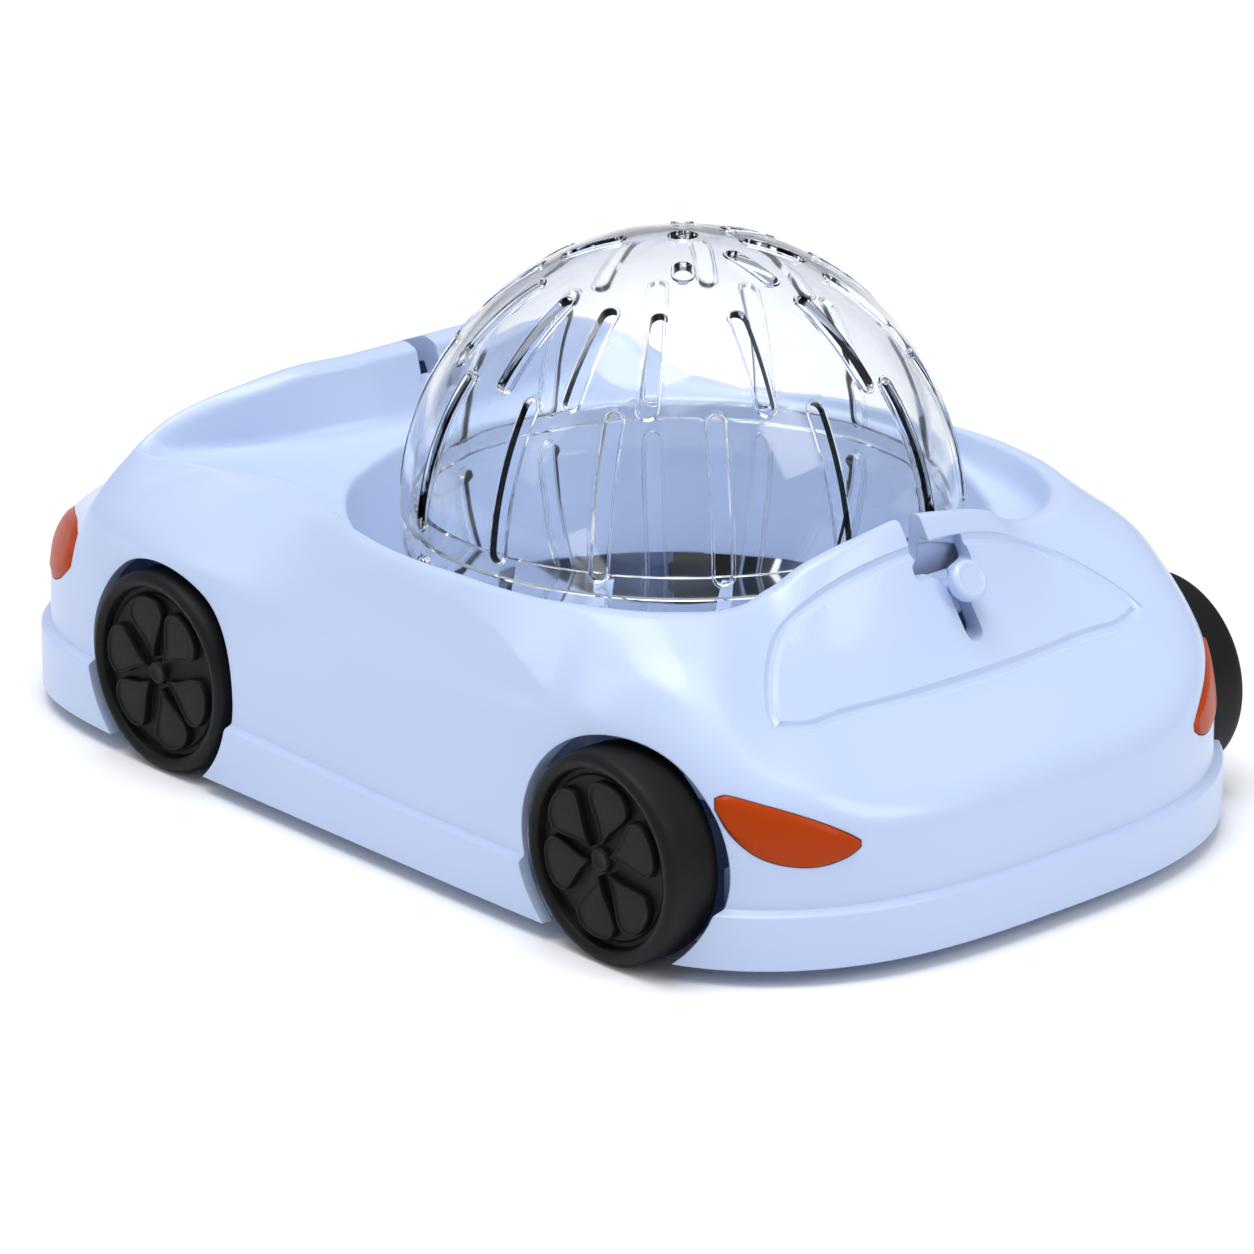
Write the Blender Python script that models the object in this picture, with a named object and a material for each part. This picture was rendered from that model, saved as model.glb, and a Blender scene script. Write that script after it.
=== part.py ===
"""Open toy racing car with a clear exercise ball in its round cockpit.

Units are millimetres inside the functions and metres in the meshes (MM converts).
+X is the nose, +Y the left side and +Z up. The pieces are drawn round the well's upright
axis, and main() then moves them so that the origin is on the ground midway along the car.
"""

import math

import bmesh
import bpy
from mathutils import Matrix, Vector

MM = 0.001

# Ball
BALL_R = 60.0
BALL_WALL = 1.8
BALL_RIM_WIDTH = 1.2
BALL_RIM_HEIGHT = 5.0
BALL_SLOT_WIDTH = 4.0
BALL_REST_Y = -3.4

# Wheels and axles
WHEEL_R = 22.5
WHEEL_WIDTH = 14.0
WHEEL_FACE_Y = 82.8
AXLE_R = 2.0
REAR_AXLE_X = -69.5
FRONT_AXLE_X = 73.5
RUNNING_GAP = 0.3
WHEEL_BORE_DEPTH = 10.5
ARCH_GAP = 2.4
SEAT_GAP = 0.3

# Body
NOSE_X = 146.0
TAIL_X = -118.0
HALF_WIDTH = 83.5
END_CURVE_WIDTH = 92.0
CORNER_BLEND = 24
NOSE_POWER = 3.8
TAIL_POWER = 3.0
GROUND_GAP = 3.5
STEP_TOP_REAR = 16.0
STEP_TOP_FRONT = 19.0
STEP_OUT = 2.0
WALL = 2.2
WELL_R = 68.0
DECK_Z = 62.0

# Tray
TRAY_THICKNESS = 2.4
TRAY_BOTTOM = 4.5
TRAY_GAP = 0.4
COLLAR_R = 54.0
COLLAR_WALL = 2.0
COLLAR_TOP = 24.0
SCREW_R = 1.5
SCREW_HEAD_R = 3.0
SCREW_HEAD = 1.8
SADDLE_Y = 57.0
SADDLE_LENGTH = 8.0
SADDLE_WIDTH = 11.0

# Ball keeper: a knob outside the cowl and a plate inside it
SLIT_WIDTH = 5.5
WINDOW_Y = (-13.0, 4.0)
WINDOW_Z = (65.8, 71.0)
KNOB_Y = -5.5
KNOB_R = 4.4
KNOB_THICKNESS = 3.4
STEM_R = 1.9
SLOT_WIDTH = 4.6
SLOT_BOTTOM_Z = 54.8
KNOB_Z = 62.9
KEEPER_STEM = 5.6
KEEPER_PLATE = 1.6
KEEPER_GAP = 0.9

# Floor of the notch in the nose crest
NOTCH_Z = 69.6

# Screw posts, as (x, distance from the centre line)
BOSSES = [(114.0, 32.0), (12.0, 75.4), (-103.0, 30.0)]
BOSS_R = 3.4
BOSS_SIDES = 16
BOSS_BOTTOM = 7.3
BOSS_SUNK = 1.8
SCREW_TOP = 18.0

# Axle caps
CAP_WALL = 1.6
CAP_LEG = 7.0
CAP_TOP = 5.0

# Lamps, as (angle from the nose, lower edge, upper edge)
LAMPS = {
    "rear": [
        (142.6, 36.3, 38.9),
        (143.8, 32.2, 39.2),
        (145.5, 28.2, 38.4),
        (149.0, 25.2, 36.6),
        (153.0, 25.3, 33.2),
        (156.2, 27.6, 29.8),
    ],
    "front": [
        (35.0, 36.0, 43.5),
        (33.5, 31.8, 45.0),
        (31.0, 29.5, 44.5),
        (26.0, 29.5, 42.0),
        (22.0, 30.5, 38.0),
        (19.5, 32.4, 34.6),
    ],
}
LAMP_COLUMNS = 14
LAMP_ROWS = 3
LAMP_PROUD = 0.6
LAMP_THICKNESS = 2.6
LAMP_GAP = 0.3

SPOKES = 60
TRAY_WHEEL_GAP = 2.0
PETALS = 6
BALL_HOLE_R = 3.3
BALL_VENTS = [(38.0, 60.0, 0.5), (7.0, 35.0, 0.0)]
VENTS_PER_RING = 10
BALL_SEGMENTS = 32
WHEEL_SEGMENTS = 32
ARCH_SEGMENTS = 36

COLOURS = {
    "body_blue": ((0.584, 0.701, 0.956, 1.0), 0.25, 0.0, 0.0),
    "wheel_black": ((0.022, 0.022, 0.022, 1.0), 0.45, 0.0, 0.0),
    "lamp_orange": ((0.50, 0.07, 0.0, 1.0), 0.2, 0.0, 0.0),
    "clear_plastic": ((0.95, 0.97, 1.0, 1.0), 0.05, 0.0, 1.0),
    "axle_steel": ((0.55, 0.55, 0.56, 1.0), 0.3, 1.0, 0.0),
}

# Cross-sections of the top surface. Each one gives its angle from the nose in degrees
# and (distance from the well's axis, height) of the deck foot, the crest's inner and
# outer edge, the slope's middle and the shoulder.
SECTIONS = [
    (0, (76, 62), (80, 77), (84, 78), (106, 69), (126, 51)),
    (10, (77, 62), (81.5, 77), (85.5, 78), (107, 69), (127, 51)),
    (18, (82, 62), (86.5, 77), (90.5, 78), (110, 69), (129, 51)),
    (26, (92, 62), (96, 74), (100, 75.5), (114, 67), (130, 51)),
    (32, (106, 62), (109, 69), (112, 70.5), (121, 62), (131, 50)),
    (36, (113, 62.5), (116, 64.5), (118, 65), (124, 58), (130, 49)),
    (40, (84, 62.5), (91, 64), (99, 64), (112, 58), (122, 50)),
    (46, (73, 62.5), (78.5, 63.5), (87, 62.3), (103, 56.5), (113, 49)),
    (60, (70.8, 62.5), (72.5, 64.3), (76, 61.8), (83.5, 54), (89, 47)),
    (75, (70.4, 62.5), (71.2, 65.8), (73.6, 64), (78.5, 54.5), (81.5, 47.5)),
    (90, (70.2, 62), (71, 66), (73.6, 64.8), (77, 56.5), (79.3, 48.5)),
    (108, (71, 60), (73.6, 66), (76.6, 66), (80, 58.9), (82.2, 49.9)),
    (123, (75.5, 58.8), (77.8, 66), (81.2, 66.5), (87.5, 60.5), (91.5, 51.5)),
    (136, (78.5, 58.5), (80.7, 66.2), (84.8, 66.8), (98.5, 59.5), (105.5, 49.5)),
    (143, (77, 60), (80.2, 66), (84.5, 66.5), (101, 56.5), (110.5, 46.5)),
    (149, (71.8, 61.5), (76, 65.6), (80.5, 66), (96, 54), (112.5, 43)),
    (153.5, (70.8, 62.5), (71.8, 66.9), (76, 67.5), (94.5, 52), (113.5, 41)),
    (160, (70.3, 63), (71, 71.3), (74.5, 72), (92, 49.8), (112.5, 38.5)),
    (169, (70, 63), (70.3, 74.5), (73.3, 75), (91, 48.6), (111, 37.6)),
    (180, (69.8, 63), (70, 76.5), (72.8, 77), (90.5, 48), (110.5, 37.5)),
]


def slope_at(before, here, after, gap_before, gap_after):
    """Slope of a curve that never overshoots its points."""
    a = (here - before) / gap_before
    b = (after - here) / gap_after
    return 0.0 if a * b <= 0 else 2 * a * b / (a + b)


def section_at(degrees):
    """The five points of the top surface at any angle, on smooth curves along the body."""
    angle = abs((degrees + 180) % 360 - 180)
    k = 0
    while angle > SECTIONS[k + 1][0]:
        k += 1
    rows = [SECTIONS[max(k - 1, 0)], *SECTIONS[k : k + 2], SECTIONS[min(k + 2, len(SECTIONS) - 1)]]
    gap = rows[2][0] - rows[1][0]
    gap_before = max(rows[1][0] - rows[0][0], 1.0)
    gap_after = max(rows[3][0] - rows[2][0], 1.0)
    t = (angle - rows[1][0]) / gap
    found = []
    for line in range(1, len(rows[0])):
        values = []
        for p in (0, 1):
            a, b, c, d = (row[line][p] for row in rows)
            leave = slope_at(a, b, c, gap_before, gap) * gap
            arrive = slope_at(b, c, d, gap, gap_after) * gap
            values.append(
                b * (2 * t**3 - 3 * t**2 + 1)
                + leave * (t**3 - 2 * t**2 + t)
                + c * (3 * t**2 - 2 * t**3)
                + arrive * (t**3 - t**2)
            )
        found.append(tuple(values))
    return found


def outline(degrees, inset=0.0):
    """Distance from the well's axis to the skirt in plan: flat sides and rounded ends."""
    c, s = abs(math.cos(math.radians(degrees))), abs(math.sin(math.radians(degrees)))
    nose = abs(degrees % 360 - 180) > 90
    length = NOSE_X if nose else -TAIL_X
    power = NOSE_POWER if nose else TAIL_POWER
    x = c / (length - inset)
    y = s / (END_CURVE_WIDTH - inset)
    end_curve = (x**power + y**power) ** (1 / power)
    side = s / (HALF_WIDTH - inset)
    return (end_curve**CORNER_BLEND + side**CORNER_BLEND) ** (-1 / CORNER_BLEND)


def step_height(degrees):
    """Height of the bumper step, a little taller at the nose."""
    front = max(0.0, math.cos(math.radians(degrees)))
    return STEP_TOP_REAR + (STEP_TOP_FRONT - STEP_TOP_REAR) * front


def outer_profile(degrees):
    """(distance, height) down the outside, from the well's foot to the skirt's foot."""
    foot, crest_in, crest_out, slope, shoulder = section_at(degrees)
    belt = outline(degrees, STEP_OUT)
    skirt = outline(degrees)
    step = step_height(degrees)
    return [
        (WELL_R - 1.0, COLLAR_TOP + 2.0),
        (WELL_R, DECK_Z - 10.0),
        (WELL_R + 0.6, foot[1] - 1.0),
        (WELL_R + 1.6, foot[1]),
        foot,
        crest_in,
        crest_out,
        slope,
        shoulder,
        (belt - 2.0, 40.0 if shoulder[1] > 42 else shoulder[1] - 4.0),
        (belt, 28.0),
        (belt, step),
        (skirt, step - 0.8),
        (skirt, GROUND_GAP),
    ]


def hollow_profile(degrees):
    """(distance, height) of the hollow side, from the skirt's foot back to the well."""
    foot, _, crest, slope, shoulder = section_at(degrees)
    belt = outline(degrees, STEP_OUT + WALL)
    skirt = outline(degrees, WALL + 0.6)
    rise = min(1.0, max(0.0, (crest[1] - foot[1]) / 14.0))
    return [
        (skirt, GROUND_GAP),
        (skirt, step_height(degrees) - WALL),
        (belt, 27.0),
        (belt - 2.6, min(38.0, shoulder[1] - 5.5)),
        (shoulder[0] - 2.4, shoulder[1] - 2.6),
        (slope[0] - 1.4, slope[1] - WALL - 0.8),
        (crest[0], crest[1] - 3.4 - 2.1 * rise),
        (foot[0] + 2.0, foot[1] - 2.8),
        (WELL_R + 2.8, foot[1] - 3.2),
        (WELL_R + WALL, DECK_Z - 12.0),
        (WELL_R + 1.2, COLLAR_TOP + 2.0),
    ]


def material(name):
    found = bpy.data.materials.get(name)
    if found:
        return found
    colour, roughness, metallic, clear = COLOURS[name]
    made = bpy.data.materials.new(name)
    made.use_nodes = True
    shader = made.node_tree.nodes["Principled BSDF"]
    shader.inputs["Base Color"].default_value = colour
    shader.inputs["Roughness"].default_value = roughness
    shader.inputs["Metallic"].default_value = metallic
    shader.inputs["Transmission Weight"].default_value = clear
    return made


def add_object(name, bm, finish=None, smooth=35):
    """Turn a bmesh in millimetres into an object in metres."""
    bmesh.ops.recalc_face_normals(bm, faces=bm.faces)
    bmesh.ops.scale(bm, vec=(MM, MM, MM), verts=bm.verts)
    mesh = bpy.data.meshes.new(name)
    bm.to_mesh(mesh)
    bm.free()
    made = bpy.data.objects.new(name, mesh)
    bpy.context.scene.collection.objects.link(made)
    if finish:
        mesh.materials.append(material(finish))
        mesh.shade_smooth()
        mesh.set_sharp_from_angle(angle=math.radians(smooth))
    return made


def hide_cutter(cutter):
    cutter.hide_render = True
    cutter.display_type = "WIRE"
    return cutter


def boolean(target, other, operation="DIFFERENCE"):
    modifier = target.modifiers.new(other.name, "BOOLEAN")
    modifier.operation = operation
    modifier.object = other
    modifier.solver = "EXACT"


def closed_loft(rings):
    """A closed tube through rings of equal length; the last ring joins the first."""
    bm = bmesh.new()
    loops = [[bm.verts.new(p) for p in ring] for ring in rings]
    for low, high in zip(loops, loops[1:] + loops[:1]):
        count = len(low)
        for i in range(count):
            j = (i + 1) % count
            bm.faces.new((low[i], low[j], high[j], high[i]))
    bmesh.ops.triangulate(bm, faces=bm.faces)
    return bm


def turned(profile, segments, caps=True):
    """Turn (radius, height) points round Z. Caps close the ends that miss the axis."""
    bm = bmesh.new()
    loops = []
    for radius, height in profile:
        loop = []
        for i in range(segments):
            angle = 2 * math.pi * i / segments
            loop.append(bm.verts.new((radius * math.cos(angle), radius * math.sin(angle), height)))
        loops.append(loop)
    pairs = list(zip(loops, loops[1:]))
    if not caps:
        pairs.append((loops[-1], loops[0]))
    for low, high in pairs:
        for i in range(segments):
            j = (i + 1) % segments
            bm.faces.new((low[i], low[j], high[j], high[i]))
    if caps:
        bm.faces.new(loops[0])
        bm.faces.new(loops[-1])
    return bm


def box(low, high):
    bm = bmesh.new()
    bmesh.ops.create_cube(bm, size=1.0)
    size = [b - a for a, b in zip(low, high)]
    middle = [(a + b) / 2 for a, b in zip(low, high)]
    bmesh.ops.scale(bm, vec=size, verts=bm.verts)
    bmesh.ops.translate(bm, vec=middle, verts=bm.verts)
    return bm


def rod(radius, low, high, segments=24):
    return turned([(radius, low), (radius, high)], segments)


def point_at(degrees, distance, height):
    angle = math.radians(degrees)
    return (distance * math.cos(angle), distance * math.sin(angle), height)


def body_profile(degrees):
    return outer_profile(degrees) + hollow_profile(degrees)


def make_body():
    columns = [body_profile(360 * i / SPOKES) for i in range(SPOKES)]
    rings = [
        [point_at(360 * i / SPOKES, *columns[i][k]) for i in range(SPOKES)]
        for k in range(len(columns[0]))
    ]
    body = add_object("body_shell", closed_loft(rings), "body_blue")
    for cutter in cowl_cutters():
        boolean(body, cutter)
    for end in ("front", "rear"):
        for side in (1, -1):
            window = lamp_patch(end, side, -LAMP_GAP, WALL + 4.0, 3.0)
            boolean(body, hide_cutter(add_object(f"lamp_hole_{end}_{side_name(side)}", window)))
    for x, y in boss_places():
        boolean(body, boss_post(x, y), "UNION")
    for axle_x, end in ((FRONT_AXLE_X, "front"), (REAR_AXLE_X, "rear")):
        for side in (1, -1):
            boolean(body, arch_cutter(axle_x, side, end))
    return body


def side_name(side):
    return "left" if side > 0 else "right"


def surface_height(x, y):
    """Height of the body's outer surface above a place under its top."""
    degrees = math.degrees(math.atan2(y, x))
    distance = math.hypot(x, y)
    profile = outer_profile(degrees)[4:]
    for (r0, z0), (r1, z1) in zip(profile, profile[1:]):
        if r0 <= distance <= r1:
            return z0 + (z1 - z0) * (distance - r0) / (r1 - r0)
    return profile[-1][1]


def boss_places():
    """Screw posts at the nose, between the wheels and at the tail."""
    return [(x, side * y) for x, y in BOSSES for side in (1, -1)]


def boss_name(x, y):
    place = "front" if x > 60 else "rear" if x < -60 else "middle"
    return f"{place}_{side_name(y)}"


def boss_post(x, y):
    """A tube whose top follows the underside of the skin above it."""
    rings = []
    for radius, lift in ((BOSS_R, 0), (BOSS_R, 1), (SCREW_R + SEAT_GAP, 1), (SCREW_R + SEAT_GAP, 0)):
        ring = []
        for i in range(BOSS_SIDES):
            angle = 2 * math.pi * (i + 0.37) / BOSS_SIDES
            px, py = x + radius * math.cos(angle), y + radius * math.sin(angle)
            ring.append((px, py, surface_height(px, py) - BOSS_SUNK if lift else BOSS_BOTTOM))
        rings.append(ring)
    return hide_cutter(add_object(f"boss_{boss_name(x, y)}", closed_loft(rings)))


def arch_cutter(axle_x, side, end):
    """The round wheel opening in the body's side."""
    bm = arch_shape(axle_x, side, WHEEL_R + ARCH_GAP, WHEEL_FACE_Y - WHEEL_WIDTH - 3.0)
    return hide_cutter(add_object(f"arch_{end}_{side_name(side)}", bm))


def arch_shape(axle_x, side, radius, inner_y):
    """A short round bar along the axle, from inner_y out past the body's side."""
    rings = []
    for y in (inner_y, HALF_WIDTH + 12.0):
        ring = []
        for i in range(ARCH_SEGMENTS):
            angle = 2 * math.pi * (i + 0.5) / ARCH_SEGMENTS
            ring.append((axle_x + radius * math.cos(angle), side * y, WHEEL_R + radius * math.sin(angle)))
        rings.append(ring)
    return prism(*rings)


def prism(low, high):
    """A closed solid between two outlines with the same number of points."""
    bm = bmesh.new()
    ends = [[bm.verts.new(p) for p in ring] for ring in (low, high)]
    count = len(low)
    for i in range(count):
        j = (i + 1) % count
        bm.faces.new((ends[0][i], ends[0][j], ends[1][j], ends[1][i]))
    bm.faces.new(ends[0])
    bm.faces.new(ends[1])
    bmesh.ops.triangulate(bm, faces=bm.faces)
    return bm


def face_x(z):
    """x of the rear cowl's outer face at a height, on the centre line."""
    _, _, (r0, z0), (r1, z1), _ = section_at(180)
    return -(r0 + (r1 - r0) * (z0 - z) / (z0 - z1))


def cowl_cutters():
    """The slit through the rear crest, the window under it, the knob's slot, the nose notch."""
    half = SLIT_WIDTH / 2
    outer = face_x(SLOT_BOTTOM_Z) - 10.0
    inner = -WELL_R - 5.0
    nose_crest = section_at(0)[2][0]
    shapes = {
        "nose_notch": ((WELL_R + 3.3, -half, NOTCH_Z), (nose_crest + 6.4, half, 90.0)),
        "slit": ((outer, -half, WINDOW_Z[0] + 1.0), (-WELL_R + 8.0, half, 90.0)),
        "window": ((outer, WINDOW_Y[0], WINDOW_Z[0]), (inner, WINDOW_Y[1], WINDOW_Z[1])),
        "slot": (
            (outer, KNOB_Y - SLOT_WIDTH / 2, SLOT_BOTTOM_Z),
            (inner, KNOB_Y + SLOT_WIDTH / 2, WINDOW_Z[0] + 1.0),
        ),
    }
    return [
        hide_cutter(add_object(f"{name}_cut", box(low, high)))
        for name, (low, high) in shapes.items()
    ]


def side_radius(degrees, z):
    """Distance from the well's axis to the body's side at a height under the shoulder."""
    profile = outer_profile(degrees)[8:12]
    for (r0, z0), (r1, z1) in zip(profile, profile[1:]):
        if z1 <= z <= z0:
            return r0 + (r1 - r0) * (z0 - z) / (z0 - z1)
    return profile[-1][0] if z < profile[-1][1] else profile[0][0]


def lamp_patch(end, side, shrink, depth, proud):
    """A lens that follows the body's corner; shrink pulls its outline in all round."""
    columns = []
    lamp = LAMPS[end]
    first, last = lamp[0][0], lamp[-1][0]
    turn = math.degrees(shrink / 110.0)
    for i in range(LAMP_COLUMNS + 1):
        t = i / LAMP_COLUMNS
        angle = first + (last - first) * t
        for (a0, low0, high0), (a1, low1, high1) in zip(lamp, lamp[1:]):
            if min(a0, a1) - 1e-6 <= angle <= max(a0, a1) + 1e-6:
                break
        u = (angle - a0) / (a1 - a0)
        low = low0 + (low1 - low0) * u + shrink
        high = high0 + (high1 - high0) * u - shrink
        swing = turn * (1 - 2 * t) * (1 if last > first else -1)
        columns.append(((angle + swing) * side, low, high))
    bm = bmesh.new()
    sheets = []
    for offset in (proud, proud - depth):
        sheet = []
        for degrees, low, high in columns:
            sheet.append(
                [
                    bm.verts.new(point_at(degrees, side_radius(degrees, z) + offset, z))
                    for z in [low + (high - low) * k / LAMP_ROWS for k in range(LAMP_ROWS + 1)]
                ]
            )
        sheets.append(sheet)
    for sheet in sheets:
        for a, b in zip(sheet, sheet[1:]):
            for k in range(LAMP_ROWS):
                bm.faces.new((a[k], b[k], b[k + 1], a[k + 1]))
    rims = []
    for sheet in sheets:
        rim = [column[0] for column in sheet] + [v for v in sheet[-1][1:]]
        rim += [column[-1] for column in sheet[-2::-1]] + [v for v in sheet[0][-2:0:-1]]
        rims.append(rim)
    for i in range(len(rims[0])):
        j = (i + 1) % len(rims[0])
        bm.faces.new((rims[0][i], rims[0][j], rims[1][j], rims[1][i]))
    bmesh.ops.triangulate(bm, faces=bm.faces)
    return bm


def make_lamps():
    for end in ("front", "rear"):
        for side in (1, -1):
            name = f"{'headlamp' if end == 'front' else 'tail_lamp'}_{side_name(side)}"
            lens = lamp_patch(end, side, 0.0, LAMP_THICKNESS, LAMP_PROUD)
            add_object(name, lens, "lamp_orange")


def make_tray():
    """The underbody plate: it fills the skirt, and a collar round its hole keeps the ball in."""
    top = TRAY_BOTTOM + TRAY_THICKNESS
    rings = []
    for height in (TRAY_BOTTOM, top):
        ring = []
        for i in range(SPOKES):
            degrees = 360 * i / SPOKES
            ring.append(point_at(degrees, outline(degrees, WALL + 0.6 + TRAY_GAP), height))
        rings.append(ring)
    tray = add_object("chassis_tray", prism(*rings), "body_blue")
    collar = rod(COLLAR_R + COLLAR_WALL, TRAY_BOTTOM, COLLAR_TOP, 48)
    boolean(tray, hide_cutter(add_object("collar_outside", collar)), "UNION")
    for axle_x, end in ((FRONT_AXLE_X, "front"), (REAR_AXLE_X, "rear")):
        for side in (1, -1):
            boolean(tray, saddle_block(axle_x, side, end), "UNION")
    hole = rod(COLLAR_R, TRAY_BOTTOM - 5.0, COLLAR_TOP + 5.0, 48)
    boolean(tray, hide_cutter(add_object("collar_inside", hole)))
    for axle_x, end in ((FRONT_AXLE_X, "front"), (REAR_AXLE_X, "rear")):
        for side in (1, -1):
            inner = WHEEL_FACE_Y - WHEEL_WIDTH - TRAY_WHEEL_GAP
            room = arch_shape(axle_x, side, WHEEL_R + TRAY_WHEEL_GAP, inner)
            boolean(tray, hide_cutter(add_object(f"wheel_room_{end}_{side_name(side)}", room)))
        boolean(tray, axle_notch(axle_x, end))
    for x, y in boss_places():
        bm = rod(SCREW_R + SEAT_GAP, TRAY_BOTTOM - 5.0, top + 5.0, 16)
        bmesh.ops.translate(bm, vec=(x, y, 0), verts=bm.verts)
        boolean(tray, hide_cutter(add_object(f"screw_hole_{boss_name(x, y)}", bm)))
    return tray


def saddle_block(axle_x, side, end):
    y = side * SADDLE_Y
    half_x, half_y = SADDLE_WIDTH / 2, SADDLE_LENGTH / 2
    low = (axle_x - half_x, y - half_y, TRAY_BOTTOM + 0.5)
    high = (axle_x + half_x, y + half_y, WHEEL_R)
    return hide_cutter(add_object(f"saddle_{end}_{side_name(side)}", box(low, high)))


def axle_notch(axle_x, end):
    """The half-round seat across both saddles of an axle."""
    bm = rod(AXLE_R + RUNNING_GAP, -SADDLE_Y - SADDLE_LENGTH, SADDLE_Y + SADDLE_LENGTH, 24)
    bmesh.ops.rotate(bm, verts=bm.verts, cent=(0, 0, 0), matrix=Matrix.Rotation(math.pi / 2, 3, "X"))
    bmesh.ops.translate(bm, vec=(axle_x, 0, WHEEL_R), verts=bm.verts)
    return hide_cutter(add_object(f"axle_seat_{end}", bm))


def make_axle_caps():
    """A clip-on saddle cap over each axle seat, with a leg down each side of its block."""
    half_y = SADDLE_LENGTH / 2
    leg = SADDLE_WIDTH / 2 + SEAT_GAP + CAP_WALL
    bore = AXLE_R + RUNNING_GAP
    inner = [(leg - CAP_WALL, -CAP_LEG), (leg - CAP_WALL, SEAT_GAP)]
    outer = [(leg, -CAP_LEG), (leg, SEAT_GAP)]
    for i in range(7):
        angle = math.pi * i / 12
        inner.append((bore * math.cos(angle), SEAT_GAP + bore * math.sin(angle)))
        if i < 4:
            outer.append((leg, SEAT_GAP + (CAP_TOP - SEAT_GAP) * (i + 1) / 4))
        else:
            outer.append((leg * (6 - i) / 3, CAP_TOP))
    inner += [(-x, z) for x, z in inner[-2::-1]]
    outer += [(-x, z) for x, z in outer[-2::-1]]
    for axle_x, end in ((FRONT_AXLE_X, "front"), (REAR_AXLE_X, "rear")):
        for side in (1, -1):
            bm = bmesh.new()
            lines = []
            for line in (outer, inner):
                for y in (side * SADDLE_Y - half_y, side * SADDLE_Y + half_y):
                    lines.append([bm.verts.new((axle_x + x, y, WHEEL_R + z)) for x, z in line])
            for a, b in ((0, 1), (3, 2), (1, 3), (2, 0)):
                for k in range(len(outer) - 1):
                    bm.faces.new((lines[a][k], lines[b][k], lines[b][k + 1], lines[a][k + 1]))
            for k in (0, -1):
                bm.faces.new((lines[0][k], lines[1][k], lines[3][k], lines[2][k]))
            bmesh.ops.triangulate(bm, faces=bm.faces)
            add_object(f"axle_cap_{end}_{side_name(side)}", bm, "body_blue")


def make_screws():
    """A pan-head screw up through the tray into each post of the body."""
    head_top = TRAY_BOTTOM - SEAT_GAP
    profile = [
        (SCREW_HEAD_R * 0.8, head_top - SCREW_HEAD),
        (SCREW_HEAD_R, head_top - SCREW_HEAD * 0.6),
        (SCREW_HEAD_R, head_top),
        (SCREW_R, head_top),
        (SCREW_R, SCREW_TOP - 1.0),
        (SCREW_R * 0.4, SCREW_TOP),
    ]
    for x, y in boss_places():
        bm = turned(profile, 16)
        bmesh.ops.translate(bm, vec=(x, y, 0), verts=bm.verts)
        add_object(f"screw_{boss_name(x, y)}", bm, "axle_steel")


def make_axle(axle_x, end):
    length = WHEEL_FACE_Y - WHEEL_WIDTH + WHEEL_BORE_DEPTH - SEAT_GAP
    tip = AXLE_R * 0.75
    profile = [(tip, -length), (AXLE_R, 1 - length), (AXLE_R, length - 1), (tip, length)]
    axle = add_object(f"{end}_axle", turned(profile, 24), "axle_steel")
    axle.rotation_euler = (math.radians(90), 0, 0)
    axle.location = (axle_x * MM, 0, WHEEL_R * MM)
    return axle


def wheel_profile():
    """(radius, distance from the outer face) from the face's middle round to the bore."""
    return [
        (2.6, 0.3),
        (3.4, 1.2),
        (WHEEL_R - 5.2, 1.2),
        (WHEEL_R - 4.6, 2.6),
        (WHEEL_R - 3.7, 0.6),
        (WHEEL_R - 2.1, 0.0),
        (WHEEL_R - 0.6, 0.9),
        (WHEEL_R, 2.8),
        (WHEEL_R, WHEEL_WIDTH - 2.6),
        (WHEEL_R - 0.9, WHEEL_WIDTH - 0.4),
        (WHEEL_R - 4.0, WHEEL_WIDTH),
        (WHEEL_R - 5.5, WHEEL_WIDTH - 5.0),
        (5.0, WHEEL_WIDTH - 6.0),
        (AXLE_R + RUNNING_GAP, WHEEL_WIDTH),
        (AXLE_R + RUNNING_GAP, WHEEL_WIDTH - WHEEL_BORE_DEPTH),
    ]


def petal_outline(middle, half_turn):
    """A rounded wedge of the wheel's face between two spokes' grooves."""
    points = [(4.6, 0.0)]
    for inset, spread in ((14.5, 0.8), (7.9, 0.95), (5.9, 0.5), (5.6, 0.0)):
        points.append((WHEEL_R - inset, spread))
    right = [(r, middle - half_turn * s) for r, s in points]
    left = [(r, middle + half_turn * s) for r, s in points[-2:0:-1]]
    return [(r * math.cos(a), r * math.sin(a)) for r, a in right + left]


def make_wheel(name, side, axle, turn):
    bm = turned(wheel_profile(), WHEEL_SEGMENTS)
    wheel = add_object(name, bm, "wheel_black")
    petals = bmesh.new()
    for k in range(PETALS):
        middle = math.radians(turn) + 2 * math.pi * k / PETALS
        middle += (0.04 if k % 2 else -0.04) * math.pi
        flat = petal_outline(middle, math.radians(23))
        part = prism([(x, y, 0.3) for x, y in flat], [(x, y, 2.0) for x, y in flat])
        held = bpy.data.meshes.new("petal")
        part.to_mesh(held)
        part.free()
        petals.from_mesh(held)
        bpy.data.meshes.remove(held)
    relief = hide_cutter(add_object(f"{name}_petals", petals))
    boolean(wheel, relief, "UNION")
    for piece in (wheel, relief):
        piece.parent = axle
        piece.rotation_euler = (0, 0 if side > 0 else math.pi, 0)
        piece.location = (0, 0, -side * WHEEL_FACE_Y * MM)
    return wheel


def make_running_gear():
    for axle_x, end, turn in ((FRONT_AXLE_X, "front", 12), (REAR_AXLE_X, "rear", 38)):
        axle = make_axle(axle_x, end)
        for side in (1, -1):
            make_wheel(f"wheel_{end}_{side_name(side)}", side, axle, turn)


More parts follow.
